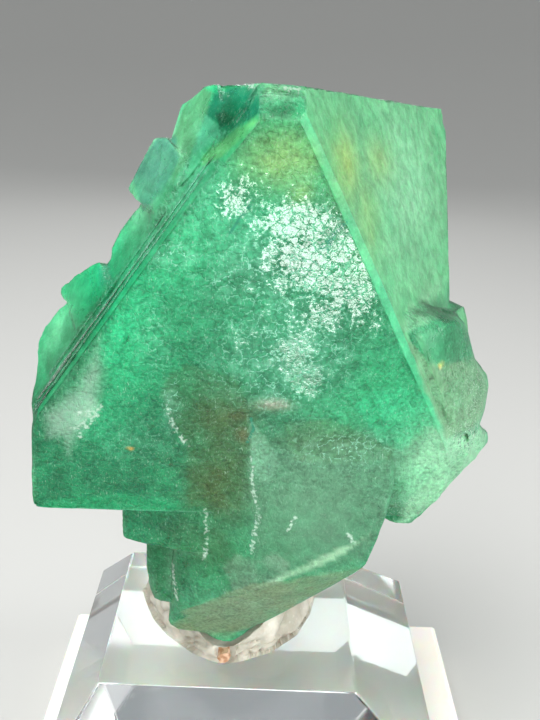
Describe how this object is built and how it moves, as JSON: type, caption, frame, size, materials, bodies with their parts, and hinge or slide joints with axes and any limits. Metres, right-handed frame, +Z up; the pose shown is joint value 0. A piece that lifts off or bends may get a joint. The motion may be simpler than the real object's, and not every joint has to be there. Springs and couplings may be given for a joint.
{
  "type": "fluorite octahedron on a clear base",
  "caption": "Green octahedral crystal with an etched face, ledges and a broken lower end, held upright by putty on a clear bevelled block on a white plate.",
  "frame": {"origin": "middle of the base plate's underside", "axes": "+Z up, -Y towards the viewer of the crystal's large etched face, +X to that viewer's right"},
  "size_m": [0.0636, 0.0668, 0.1018],
  "materials": {
    "fluorite": "etched and glassy natural faces",
    "putty": "hand-pressed, matte",
    "rust_stone": "broken, dull",
    "clear_acrylic": "polished, clear",
    "white_acrylic": "polished, milky white"
  },
  "bodies": {
    "root": {"fluorite_octahedron": "fluorite", "putty": "putty", "rust_chip": "rust_stone", "acrylic_block": "clear_acrylic", "acrylic_plate": "white_acrylic"}
  },
  "joints": []
}
